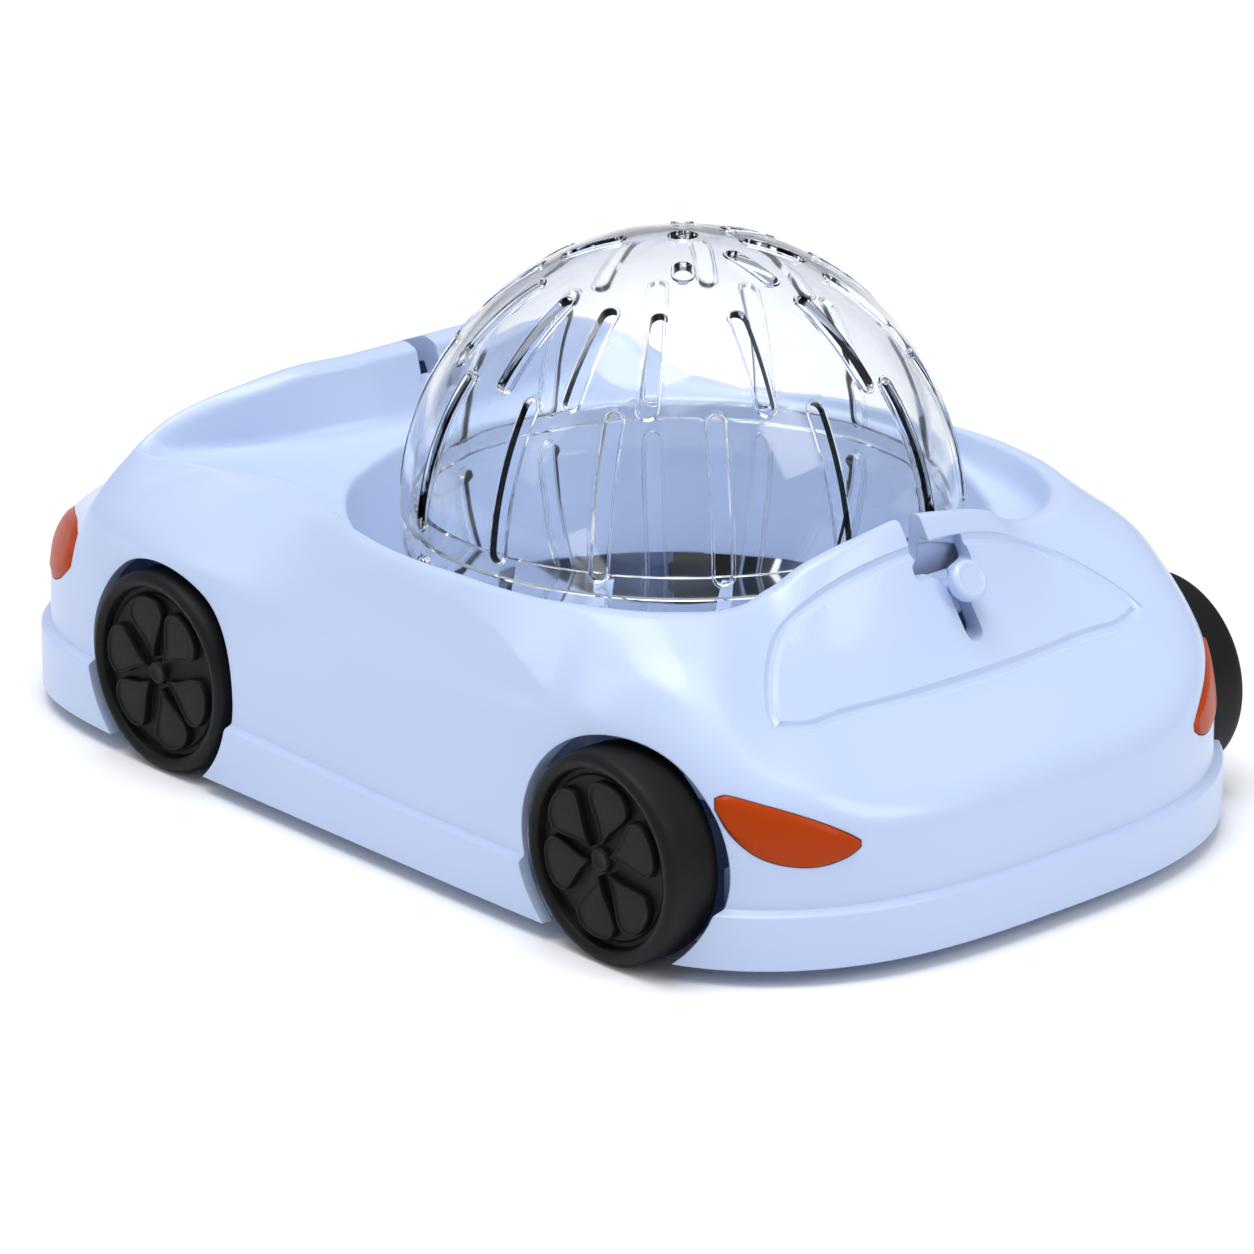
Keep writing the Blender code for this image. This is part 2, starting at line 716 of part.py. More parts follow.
def ball_half(top):
    """(radius, height above the equator) of the upper half, or of the lower one upside down."""
    inner = BALL_R - BALL_WALL
    hole = math.asin(BALL_HOLE_R / BALL_R)
    start = math.asin(SEAT_GAP / 2 / BALL_R)
    steps = 7
    angles = [start + (math.pi / 2 - hole - start) * i / steps for i in range(steps + 1)]
    outside = [(BALL_R * math.cos(a), BALL_R * math.sin(a)) for a in reversed(angles)]
    inside = [(inner * math.cos(a), inner * math.sin(a)) for a in angles]
    if top:
        return outside + inside
    lip_out = inner - SEAT_GAP - 0.3
    lip_in = lip_out - BALL_RIM_WIDTH
    lip = [(lip_out, inside[0][1]), (lip_out, -BALL_RIM_HEIGHT + 1), (lip_in, -BALL_RIM_HEIGHT + 1)]
    return outside + lip + [(lip_in, BALL_RIM_HEIGHT)] + inside[1:]


def make_ball():
    for name, top in (("ball_upper", True), ("ball_lower", False)):
        bm = turned(ball_half(top), BALL_SEGMENTS, caps=False)
        if not top:
            bmesh.ops.scale(bm, vec=(1, 1, -1), verts=bm.verts)
        half = add_object(name, bm, "clear_plastic")
        half.location = (0, BALL_REST_Y * MM, BALL_R * MM)
        cutter = ball_slots(name, top)
        cutter.location = half.location
        boolean(half, cutter)


def ball_slots(name, top):
    """Two staggered rings of upright vents through one half of the ball."""
    bm = bmesh.new()
    sign = 1 if top else -1
    for low, high, shift in BALL_VENTS:
        middle = math.radians((low + high) / 2)
        length = math.radians(high - low) * BALL_R
        for k in range(VENTS_PER_RING):
            turn = 2 * math.pi * (k + shift) / VENTS_PER_RING
            slot = bmesh.ops.create_cube(bm, size=1.0)["verts"]
            bmesh.ops.scale(bm, vec=(10.0, BALL_SLOT_WIDTH, length), verts=slot)
            bmesh.ops.translate(bm, vec=(BALL_R - 1.0, 0, 0), verts=slot)
            place = Matrix.Rotation(turn, 3, "Z") @ Matrix.Rotation(-sign * middle, 3, "Y")
            bmesh.ops.rotate(bm, verts=slot, cent=(0, 0, 0), matrix=place)
    return hide_cutter(add_object(f"{name}_vents", bm))


def lean_matrix():
    """Turns +X to the cowl face's outward normal and +Z up along the face."""
    lean = math.atan((face_x(60.0) - face_x(61.0)) / 1.0)
    return Matrix.Rotation(math.pi, 3, "Z") @ Matrix.Rotation(lean, 3, "Y")


def make_keeper():
    """The ball keeper: an outside knob on a stem, and the plate that rides inside the cowl."""
    place = lean_matrix()
    base = Vector((face_x(KNOB_Z), KNOB_Y, KNOB_Z))
    knob_profile = [
        (STEM_R, -KEEPER_STEM),
        (STEM_R, 2.0),
        (KNOB_R - 0.6, 2.0),
        (KNOB_R, 2.6),
        (KNOB_R, 2.0 + KNOB_THICKNESS - 0.8),
        (KNOB_R - 0.8, 2.0 + KNOB_THICKNESS),
    ]
    bm = turned(knob_profile, 24)
    bmesh.ops.rotate(bm, verts=bm.verts, cent=(0, 0, 0), matrix=Matrix.Rotation(math.pi / 2, 3, "Y"))
    bmesh.ops.rotate(bm, verts=bm.verts, cent=(0, 0, 0), matrix=place)
    bmesh.ops.translate(bm, vec=base, verts=bm.verts)
    add_object("keeper_knob", bm, "body_blue")

    back = -WALL - 0.8 - KEEPER_GAP
    low = (back - KEEPER_PLATE, -6.0, -5.0)
    high = (back, 6.0, 4.5)
    bm = box(low, high)
    bmesh.ops.rotate(bm, verts=bm.verts, cent=(0, 0, 0), matrix=place)
    bmesh.ops.translate(bm, vec=base, verts=bm.verts)
    plate = add_object("keeper_plate", bm, "body_blue")
    bm = rod(STEM_R + SEAT_GAP, -20.0, 20.0, 24)
    bmesh.ops.rotate(bm, verts=bm.verts, cent=(0, 0, 0), matrix=Matrix.Rotation(math.pi / 2, 3, "Y"))
    bmesh.ops.rotate(bm, verts=bm.verts, cent=(0, 0, 0), matrix=place)
    bmesh.ops.translate(bm, vec=base, verts=bm.verts)
    boolean(plate, hide_cutter(add_object("stem_hole", bm)))


def centre_along_car():
    """Put the origin midway between the nose and the tail."""
    for piece in bpy.data.objects:
        if piece.parent is None:
            piece.location.x -= (NOSE_X + TAIL_X) / 2 * MM


def clear_scene():
    for existing in list(bpy.data.objects):
        bpy.data.objects.remove(existing)


def main():
    clear_scene()
    make_body()
    make_lamps()
    make_tray()
    make_axle_caps()
    make_screws()
    make_running_gear()
    make_ball()
    make_keeper()
    centre_along_car()


main()
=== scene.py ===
"""Light blue toy racing car with a clear exercise ball in its round cockpit.

Shapes are drawn in millimetres round the well's upright axis, with +X the nose, +Y the
car's left and +Z up from the ground. add_piece() turns them into metres in the car's frame.
"""

import math

import bmesh
import bpy
from mathutils import Matrix, Vector

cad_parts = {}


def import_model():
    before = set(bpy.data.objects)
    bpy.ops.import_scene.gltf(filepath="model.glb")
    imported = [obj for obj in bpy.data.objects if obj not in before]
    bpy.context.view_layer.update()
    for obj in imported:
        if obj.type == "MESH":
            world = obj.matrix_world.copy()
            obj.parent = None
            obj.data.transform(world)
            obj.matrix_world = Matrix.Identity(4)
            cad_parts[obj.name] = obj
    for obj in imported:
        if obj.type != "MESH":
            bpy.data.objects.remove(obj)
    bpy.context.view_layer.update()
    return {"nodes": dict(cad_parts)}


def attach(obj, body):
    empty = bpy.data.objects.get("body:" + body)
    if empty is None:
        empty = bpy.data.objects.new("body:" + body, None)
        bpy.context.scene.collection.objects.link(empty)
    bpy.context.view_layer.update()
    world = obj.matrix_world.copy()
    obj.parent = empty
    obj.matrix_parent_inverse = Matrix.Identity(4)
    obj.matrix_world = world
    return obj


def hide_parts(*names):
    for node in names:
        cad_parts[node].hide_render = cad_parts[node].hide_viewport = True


MM = 0.001
EDGE_R = 0.4
WELL_X = -14.0

# Body, as in the solids
NOSE_X = 146.0
TAIL_X = -118.0
HALF_WIDTH = 83.5
END_CURVE_WIDTH = 92.0
CORNER_BLEND = 24
NOSE_POWER = 3.8
TAIL_POWER = 3.0
GROUND_GAP = 3.5
STEP_TOP_REAR = 16.0
STEP_TOP_FRONT = 19.0
STEP_OUT = 2.0
WALL = 2.2
WELL_R = 68.0
WELL_FOOT = 26.0
DECK_Z = 62.0
BODY_COLUMNS = 360

# Wheels and their openings
WHEEL_R = 22.5
WHEEL_WIDTH = 14.0
WHEEL_FACE_Y = 82.8
AXLE_R = 2.3
AXLE_X = {"front": 73.5, "rear": -69.5}
WHEEL_TURN = {"front": 12.0, "rear": 38.0}
ARCH_GAP = 2.4
ARCH_SEGMENTS = 120
ARCH_DEPTH_Y = WHEEL_FACE_Y - WHEEL_WIDTH - 3.0
BORE_DEPTH = 10.5
PETALS = 6
PETAL_LEAN = 3.0

# Ball
BALL_R = 60.0
BALL_WALL = 1.8
BALL_REST_Y = -3.4
BALL_LIP_HEIGHT = 5.0
BALL_LIP_WIDTH = 1.2
BALL_SPLIT = 0.3
POLE_HOLE_R = 3.3
VENT_WIDTH = 3.6
VENT_RIM = 0.45

# Rear cowl: the slit, the window and the knob's slot
SLIT_HALF = 2.75
WINDOW_LEFT = 4.0
WINDOW_RIGHT = -13.0
WINDOW_LOW = 65.8
WINDOW_HIGH = 71.0
KNOB_Y = -5.5
KNOB_Z = 62.9
KNOB_R = 4.4
SLOT_HALF = 2.3
SLOT_LOW = 53.0
NOTCH_Z = 69.6
COWL_TOP = (72.8, 77.0)
COWL_FACE_X = -73.0
COWL_BACK_X = -100.0
COWL_RUN = 17.7
COWL_DROP = 29.0
COWL_LEAN = math.atan(COWL_RUN / COWL_DROP)

# Half-moon panel line on the rear cowl
PANEL_HALF_WIDTH = 52.5
PANEL_FOOT = 47.8
PANEL_RISE = 23.2

# Cross-sections of the top surface: angle from the nose, then (distance, height) of the
# deck foot, the crest's inner and outer edge, the slope, the shoulder, and last how far
# inside the belt and how high the side wall ends.
SECTIONS = [
    (0, (76, 62), (80, 77), (84, 78), (106, 69), (126, 51), (2, 40)),
    (10, (77, 62), (81.5, 77), (85.5, 78), (107, 69), (127, 51), (2, 40)),
    (18, (82, 62), (86.5, 77), (90.5, 78), (110, 69), (129, 51), (2, 40)),
    (26, (92, 62), (96, 74), (100, 75.5), (114, 67), (130, 51), (2, 40)),
    (32, (106, 62), (109, 69), (112, 70.5), (121, 62), (131, 50), (2, 40)),
    (36, (113, 62.5), (116, 64.5), (118, 65), (124, 58), (130, 49), (2, 40)),
    (40, (84, 62.5), (91, 64), (99, 64), (112, 58), (122, 50), (2, 40)),
    (46, (73, 62.5), (78.5, 63.5), (87, 62.3), (103, 56.5), (113, 49), (2, 40)),
    (60, (70.8, 62.5), (72.3, 64.3), (75.3, 62.8), (82.5, 55), (89, 47.5), (2, 40)),
    (75, (70.4, 62.5), (71.2, 65.6), (73.4, 64.6), (76.2, 60), (79.3, 52), (1, 43.5)),
    (86, (70.3, 62.3), (71, 65.8), (73, 65), (74.4, 62.2), (77, 53.5), (0.5, 45)),
    (99, (70.4, 61.5), (71.4, 66), (73.6, 65.4), (75.2, 62.4), (78, 53), (0.5, 44.4)),
    (110.5, (71.6, 59.5), (74.2, 66), (76.8, 66), (80.9, 59.8), (82.8, 51.5), (0.6, 44.8)),
    (118, (74, 58.8), (76.6, 66), (79.4, 66.2), (87.6, 55.6), (88.4, 50.5), (0.8, 46)),
    (122, (75.2, 58.6), (77.6, 66.1), (80.8, 66.5), (90.5, 54), (92.4, 49.8), (1.2, 45.5)),
    (128, (76.9, 58.5), (79.2, 66.2), (82.6, 66.7), (94, 57.5), (98.8, 50.5), (1.8, 43)),
    (136, (78.5, 58.5), (80.7, 66.2), (84.8, 66.8), (98.5, 59.5), (105.5, 49.5), (2, 40)),
    (143, (77, 60), (80.2, 66), (84.5, 66.5), (101, 56.5), (110.5, 46.5), (2, 39)),
    (149, (71.8, 61.5), (76, 65.6), (80.5, 66), (96, 54), (112.5, 43), (2, 37.5)),
    (153.5, (70.8, 62.5), (71.8, 66.9), (76, 67.5), (94.5, 52), (113.5, 41), (2, 36)),
    (160, (70.3, 63), (71, 71.3), (74.5, 72), (92, 49.8), (112.5, 38.5), (2, 34)),
    (169, (70, 63), (70.3, 74.5), (73.3, 75), (91, 48.6), (111, 37.6), (2, 33.5)),
    (180, (69.8, 63), (70, 76.5), (72.8, 77), (90.5, 48), (110.5, 37.5), (2, 33.5)),
]

# Lamps, as (angle from the nose, lower edge, upper edge)
LAMPS = {
    "rear": [
        (142.3, 36.6, 38.6),
        (143.2, 33.4, 39.3),
        (144.4, 30.4, 39.0),
        (146.5, 27.2, 37.9),
        (149.5, 25.3, 36.1),
        (152.5, 25.1, 33.8),
        (155.0, 26.5, 31.3),
        (156.4, 28.3, 29.5),
    ],
    "front": [
        (35.0, 36.0, 43.5),
        (33.5, 31.8, 45.0),
        (31.0, 29.5, 44.5),
        (26.0, 29.5, 42.0),
        (22.0, 30.5, 38.0),
        (19.5, 32.4, 34.6),
    ],
}

# Vents in each half of the ball: the turn of each one, and where it starts and ends
UPPER_VENTS = (37, 62, 87, 109, 129, 159, 191, 223, 252, 282, 311, 340, 10)
LOWER_VENTS = (72, 98, 121, 146, 172, 198, 224, 250, 276, 300, 324, 348, 14, 43)
SHORT_VENTS = (41, 187, 229, 271)
ROUND_VENTS = (138, 318)
VENT_BANDS = [(UPPER_VENTS, 36.0, 60.0), (LOWER_VENTS, 3.0, 37.0), (SHORT_VENTS, 65.0, 78.0)]
ROUND_VENT_LATITUDE = 73.0


# ---------------------------------------------------------------- materials


def hex_colour(code):
    """A colour written as sRGB hex, turned to linear."""
    channels = []
    for i in (1, 3, 5):
        value = int(code[i : i + 2], 16) / 255
        channels.append(value / 12.92 if value <= 0.04045 else ((value + 0.055) / 1.055) ** 2.4)
    return (*channels, 1.0)


def add_node(tree, kind, settings=None, values=None, links=None):
    """Add a node with its settings, its input values and its incoming links."""
    node = tree.nodes.new(kind)
    for name, value in (settings or {}).items():
        setattr(node, name, value)
    for name, value in (values or {}).items():
        node.inputs[name].default_value = value
    for name, socket in (links or {}).items():
        tree.links.new(socket, node.inputs[name])
    return node


def new_material(name):
    made = bpy.data.materials.new(name)
    made.use_nodes = True
    made.node_tree.nodes.clear()
    return made, made.node_tree


def moulded_plastic(name, dark, light, roughness, grain_mm, depth_mm, coat=0.0, ior=1.5):
    """Injection-moulded plastic: a little colour drift, fine grain and softened edges."""
    made, tree = new_material(name)
    place = add_node(tree, "ShaderNodeTexCoord").outputs["Object"]
    drift = add_node(
        tree, "ShaderNodeTexNoise", values={"Scale": 1 / (60 * MM), "Detail": 2.0}, links={"Vector": place}
    )
    tint = add_node(
        tree,
        "ShaderNodeMix",
        {"data_type": "RGBA"},
        {6: hex_colour(dark), 7: hex_colour(light)},
        {0: drift.outputs["Fac"]},
    )
    grain = add_node(
        tree,
        "ShaderNodeTexNoise",
        values={"Scale": 1 / (grain_mm * MM), "Detail": 3.0},
        links={"Vector": place},
    )
    edges = add_node(tree, "ShaderNodeBevel", {"samples": 4}, {"Radius": EDGE_R * MM})
    bump = add_node(
        tree,
        "ShaderNodeBump",
        values={"Strength": 0.6, "Distance": depth_mm * MM},
        links={"Height": grain.outputs["Fac"], "Normal": edges.outputs["Normal"]},
    )
    gloss = add_node(
        tree,
        "ShaderNodeMapRange",
        values={"To Min": roughness * 0.85, "To Max": roughness * 1.15},
        links={"Value": grain.outputs["Fac"]},
    )
    shader = add_node(
        tree,
        "ShaderNodeBsdfPrincipled",
        values={"IOR": ior, "Coat Weight": coat, "Coat Roughness": 0.08},
        links={
            "Base Color": tint.outputs[2],
            "Roughness": gloss.outputs["Result"],
            "Normal": bump.outputs["Normal"],
        },
    )
    add_node(tree, "ShaderNodeOutputMaterial", links={"Surface": shader.outputs[0]})
    return made


def clear_polystyrene():
    """Polished clear polystyrene: colourless, very smooth, and it lets the lamps' light in."""
    made, tree = new_material("clear_polystyrene_polished")
    place = add_node(tree, "ShaderNodeTexCoord").outputs["Object"]
    flow = add_node(
        tree, "ShaderNodeTexNoise", values={"Scale": 1 / (14 * MM), "Detail": 1.0}, links={"Vector": place}
    )
    ripple = add_node(
        tree,
        "ShaderNodeBump",
        values={"Strength": 0.35, "Distance": 0.25 * MM},
        links={"Height": flow.outputs["Fac"]},
    )
    scuff = add_node(
        tree,
        "ShaderNodeMapRange",
        values={"To Min": 0.01, "To Max": 0.06},
        links={"Value": flow.outputs["Fac"]},
    )
    glass = add_node(
        tree,
        "ShaderNodeBsdfPrincipled",
        values={"Base Color": hex_colour("#FDFEFF"), "IOR": 1.36, "Transmission Weight": 1.0},
        links={"Roughness": scuff.outputs["Result"], "Normal": ripple.outputs["Normal"]},
    )
    through = add_node(tree, "ShaderNodeBsdfTransparent", values={"Color": hex_colour("#FAFCFF")})
    rays = add_node(tree, "ShaderNodeLightPath")
    both = add_node(
        tree,
        "ShaderNodeMixShader",
        links={0: rays.outputs["Is Shadow Ray"], 1: glass.outputs[0], 2: through.outputs[0]},
    )
    add_node(tree, "ShaderNodeOutputMaterial", links={"Surface": both.outputs[0]})
    return made


def plated_steel():
    """Zinc-plated steel wire and screws: bright, with fine drawing marks."""
    made, tree = new_material("zinc_plated_steel_drawn")
    place = add_node(tree, "ShaderNodeTexCoord").outputs["Object"]
    marks = add_node(
        tree,
        "ShaderNodeTexNoise",
        values={"Scale": 1 / (0.8 * MM), "Detail": 4.0},
        links={"Vector": place},
    )
    tint = add_node(
        tree,
        "ShaderNodeMix",
        {"data_type": "RGBA"},
        {6: hex_colour("#A9ABAE"), 7: hex_colour("#C9CCD0")},
        {0: marks.outputs["Fac"]},
    )
    gloss = add_node(
        tree,
        "ShaderNodeMapRange",
        values={"To Min": 0.22, "To Max": 0.4},
        links={"Value": marks.outputs["Fac"]},
    )
    shader = add_node(
        tree,
        "ShaderNodeBsdfPrincipled",
        values={"Metallic": 1.0},
        links={"Base Color": tint.outputs[2], "Roughness": gloss.outputs["Result"]},
    )
    add_node(tree, "ShaderNodeOutputMaterial", links={"Surface": shader.outputs[0]})
    return made


# ---------------------------------------------------------------- mesh helpers


def add_piece(name, bm, finish=None, sharp=38.0):
    """Turn a bmesh in millimetres into an object in the car's frame."""
    bmesh.ops.recalc_face_normals(bm, faces=bm.faces)
    bmesh.ops.translate(bm, vec=(WELL_X, 0, 0), verts=bm.verts)
    bmesh.ops.scale(bm, vec=(MM, MM, MM), verts=bm.verts)
    mesh = bpy.data.meshes.new(name)
    bm.to_mesh(mesh)
    bm.free()
    made = bpy.data.objects.new(name, mesh)
    bpy.context.scene.collection.objects.link(made)
    if finish:
        mesh.materials.append(finish)
    smooth(mesh, sharp)
    return made


def smooth(mesh, sharp):
    mesh.shade_smooth()
    mesh.set_sharp_from_angle(angle=math.radians(sharp))


def carve(target, steps, sharp=38.0):
    """Cut or join other solids, in order, and keep the result as the piece's own mesh."""
    for tool, operation in steps:
        modifier = target.modifiers.new(tool.name, "BOOLEAN")
        modifier.operation = operation
        modifier.object = tool
        modifier.solver = "MANIFOLD"
    graph = bpy.context.evaluated_depsgraph_get()
    result = bpy.data.meshes.new_from_object(target.evaluated_get(graph))
    target.modifiers.clear()
    target.data = result
    smooth(result, sharp)
    for tool, _ in steps:
        bpy.data.objects.remove(tool)


def closed_loft(rings):
    """A closed tube through rings of equal length; the last ring joins the first."""
    bm = bmesh.new()
    loops = [[bm.verts.new(p) for p in ring] for ring in rings]
    for low, high in zip(loops, loops[1:] + loops[:1]):
        for i in range(len(low)):
            j = (i + 1) % len(low)
            bm.faces.new((low[i], low[j], high[j], high[i]))
    bmesh.ops.triangulate(bm, faces=bm.faces)
    return bm


def prism(low, high):
    """A closed solid between two outlines with the same number of points."""
    bm = bmesh.new()
    ends = [[bm.verts.new(p) for p in ring] for ring in (low, high)]
    for i in range(len(low)):
        j = (i + 1) % len(low)
        bm.faces.new((ends[0][i], ends[0][j], ends[1][j], ends[1][i]))
    bm.faces.new(ends[0])
    bm.faces.new(ends[1])
    bmesh.ops.triangulate(bm, faces=bm.faces)
    return bm


def turned(profile, segments, closed=False):
    """Turn (radius, height) points round Z, and cap or close the ends."""
    bm = bmesh.new()
    loops = []
    for radius, height in profile:
        loop = []
        for i in range(segments):
            angle = 2 * math.pi * i / segments
            loop.append(bm.verts.new((radius * math.cos(angle), radius * math.sin(angle), height)))
        loops.append(loop)
    pairs = list(zip(loops, loops[1:]))
    if closed:
        pairs.append((loops[-1], loops[0]))
    for low, high in pairs:
        for i in range(segments):
            j = (i + 1) % segments
            bm.faces.new((low[i], low[j], high[j], high[i]))
    if not closed:
        bm.faces.new(loops[0])
        bm.faces.new(loops[-1])
    return bm


def box(low, high):
    bm = bmesh.new()
    bmesh.ops.create_cube(bm, size=1.0)
    bmesh.ops.scale(bm, vec=[b - a for a, b in zip(low, high)], verts=bm.verts)
    bmesh.ops.translate(bm, vec=[(a + b) / 2 for a, b in zip(low, high)], verts=bm.verts)
    return bm


def tube(path, radius, outward, sides=10):
    """A closed tube of round section along a closed path; outward gives each point's skin normal."""
    rings = []
    count = len(path)
    for i in range(count):
        here = Vector(path[i])
        along = (Vector(path[(i + 1) % count]) - Vector(path[i - 1])).normalized()
        over = Vector(outward[i])
        across = along.cross(over).normalized()
        over = across.cross(along)
        ring = []
        for k in range(sides):
            angle = 2 * math.pi * (k + 0.5) / sides
            ring.append(here + radius * (math.cos(angle) * across + math.sin(angle) * over))
        rings.append(ring)
    return closed_loft(rings)


def join(meshes):
    """Put several bmeshes into one."""
    whole = bmesh.new()
    for part in meshes:
        held = bpy.data.meshes.new("held")
        part.to_mesh(held)
        part.free()
        whole.from_mesh(held)
        bpy.data.meshes.remove(held)
    return whole


def rounded(corners):
    """Round each corner of a line of (point, reach, steps) with a parabola."""
    line = []
    count = len(corners)
    for i, (here, reach, steps) in enumerate(corners):
        if steps == 0:
            line.append(here)
            continue
        before = corners[i - 1][0]
        after = corners[(i + 1) % count][0]
        starts = []
        for other in (before, after):
            gap = math.dist(here, other)
            share = min(reach / max(gap, 1e-6), 0.45)
            starts.append([a + (b - a) * share for a, b in zip(here, other)])
        for k in range(steps + 1):
            t = k / steps
            line.append(
                tuple(
                    (1 - t) ** 2 * a + 2 * t * (1 - t) * b + t**2 * c
                    for a, b, c in zip(starts[0], here, starts[1])
                )
            )
    return line


def point_at(degrees, distance, height):
    angle = math.radians(degrees)
    return (distance * math.cos(angle), distance * math.sin(angle), height)


# ---------------------------------------------------------------- body surface


def slope_at(before, here, after, gap_before, gap_after):
    """Slope of a curve that never overshoots its points."""
    a = (here - before) / gap_before
    b = (after - here) / gap_after
    return 0.0 if a * b <= 0 else 2 * a * b / (a + b)


def section_at(degrees):
    """The points of the top surface at any angle, on smooth curves along the body."""
    angle = abs((degrees + 180) % 360 - 180)
    k = 0
    while angle > SECTIONS[k + 1][0]:
        k += 1
    last = len(SECTIONS) - 1
    rows = [SECTIONS[max(k - 1, 0)], SECTIONS[k], SECTIONS[k + 1], SECTIONS[min(k + 2, last)]]
    gap = rows[2][0] - rows[1][0]
    gap_before = max(rows[1][0] - rows[0][0], 1.0)
    gap_after = max(rows[3][0] - rows[2][0], 1.0)
    t = (angle - rows[1][0]) / gap
    found = []
    for line in range(1, len(rows[0])):
        values = []
        for p in (0, 1):
            a, b, c, d = (row[line][p] for row in rows)
            leave = slope_at(a, b, c, gap_before, gap) * gap
            arrive = slope_at(b, c, d, gap, gap_after) * gap
            values.append(
                b * (2 * t**3 - 3 * t**2 + 1)
                + leave * (t**3 - 2 * t**2 + t)
                + c * (3 * t**2 - 2 * t**3)
                + arrive * (t**3 - t**2)
            )
        found.append(tuple(values))
    return found


def outline(degrees, inset=0.0):
    """Distance from the well's axis to the skirt in plan: flat sides and rounded ends."""
    c, s = abs(math.cos(math.radians(degrees))), abs(math.sin(math.radians(degrees)))
    nose = abs(degrees % 360 - 180) > 90
    length = NOSE_X if nose else -TAIL_X
    power = NOSE_POWER if nose else TAIL_POWER
    x = c / (length - inset)
    y = s / (END_CURVE_WIDTH - inset)
    end_curve = (x**power + y**power) ** (1 / power)
    side = s / (HALF_WIDTH - inset)
    return (end_curve**CORNER_BLEND + side**CORNER_BLEND) ** (-1 / CORNER_BLEND)


def step_height(degrees):
    """Height of the bumper step, a little taller at the nose."""
    front = max(0.0, math.cos(math.radians(degrees)))
    return STEP_TOP_REAR + (STEP_TOP_FRONT - STEP_TOP_REAR) * front


def ease(low, high, value):
    t = min(1.0, max(0.0, (value - low) / (high - low)))
    return t * t * (3 - 2 * t)


def outer_profile(degrees):
    """(distance, height) down the outside, from the well's foot to the skirt's foot."""
    foot, crest_in, crest_out, slope, shoulder, (wall_inset, wall_top) = section_at(degrees)
    belt = outline(degrees, STEP_OUT)
    skirt = outline(degrees)
    step = step_height(degrees)
    angle = abs((degrees + 180) % 360 - 180)
    crease = ease(70, 82, angle) * (1 - ease(118, 124, angle))
    line_reach = 20.0 + (1.3 - 20.0) * crease
    corners = [
        ((WELL_R - 1.0, WELL_FOOT), 0, 0),
        ((WELL_R, DECK_Z - 10.0), 2.0, 2),
        ((WELL_R + 0.6, foot[1] - 1.0), 1.0, 2),
        ((WELL_R + 1.6, foot[1]), 0.8, 3),
        (foot, 3.5, 5),
        (crest_in, 1.2, 4),
        (crest_out, 1.4, 4),
        (slope, line_reach, 8),
        (shoulder, 20.0, 8),
        ((belt - wall_inset, wall_top), 20.0 + (1.6 - 20.0) * crease, 6),
        ((belt, 28.0), 20.0, 5),
        ((belt, step), 0.5, 2),
        ((skirt, step - 0.8), 0.7, 3),
        ((skirt, GROUND_GAP), 0.5, 2),
    ]
    return rounded(corners)


def hollow_profile(degrees):
    """(distance, height) of the hollow side, from the skirt's foot back to the well."""
    foot, _, crest, slope, shoulder, _ = section_at(degrees)
    belt = outline(degrees, STEP_OUT + WALL)
    skirt = outline(degrees, WALL + 0.6)
    rise = min(1.0, max(0.0, (crest[1] - foot[1]) / 14.0))
    return [
        (skirt, GROUND_GAP),
        (skirt, step_height(degrees) - WALL),
        (belt, 27.0),
        (belt - 2.6, min(38.0, shoulder[1] - 5.5)),
        (shoulder[0] - 3.4, shoulder[1] - 3.6),
        (slope[0] - 2.0, slope[1] - WALL - 2.2),
        (crest[0], crest[1] - 3.8 - 2.1 * rise),
        (foot[0] + 1.6, foot[1] - 3.2),
        (WELL_R + 2.8, foot[1] - 3.4),
        (WELL_R + WALL, DECK_Z - 12.0),
        (WELL_R + 1.2, WELL_FOOT),
    ]


def side_radius(degrees, z):
    """Distance from the well's axis to the body's outside at a height below the crest."""
    profile = outer_profile(degrees)
    crest = max(range(len(profile)), key=lambda i: profile[i][1])
    for (r0, z0), (r1, z1) in zip(profile[crest:], profile[crest + 1 :]):
        if z1 <= z <= z0 and z0 > z1:
            return r0 + (r1 - r0) * (z0 - z) / (z0 - z1)
    return profile[-1][0]


def cowl_point(y, z, lift=0.0):
    """The point of the rear cowl's outside that stands at y and z, lifted off the skin."""
    low, high = 90.0, 180.0
    for _ in range(24):
        middle = (low + high) / 2
        if side_radius(middle, z) * math.sin(math.radians(middle)) > abs(y):
            low = middle
        else:
            high = middle
    x = side_radius(high, z) * math.cos(math.radians(high))
    return (x - lift * math.cos(COWL_LEAN), y, z + lift * math.sin(COWL_LEAN))


# ---------------------------------------------------------------- body


def side_name(side):
    return "left" if side > 0 else "right"


def slot_outline():
    """The J-shaped opening in the rear cowl, seen from behind, as (y, z)."""
    corners = [
        ((SLIT_HALF, 90.0), 0, 0),
        ((SLIT_HALF, WINDOW_HIGH - 2.0), 0.8, 3),
        ((WINDOW_LEFT, WINDOW_HIGH - 2.6), 0.8, 3),
        ((WINDOW_LEFT, WINDOW_LOW), 1.0, 3),
        ((KNOB_Y + SLOT_HALF + 1.4, WINDOW_LOW - 0.6), 1.0, 3),
        ((KNOB_Y + SLOT_HALF, WINDOW_LOW - 4.0), 1.0, 3),
        ((KNOB_Y + SLOT_HALF, SLOT_LOW), 2.2, 5),
        ((KNOB_Y - SLOT_HALF, SLOT_LOW), 2.2, 5),
        ((KNOB_Y - SLOT_HALF, WINDOW_LOW - 1.0), 1.0, 3),
        ((WINDOW_RIGHT, WINDOW_LOW), 0.8, 3),
        ((WINDOW_RIGHT, WINDOW_HIGH), 1.0, 3),
        ((-SLIT_HALF, WINDOW_HIGH + 0.6), 0.8, 3),
        ((-SLIT_HALF, 90.0), 0, 0),
    ]
    return rounded(corners)


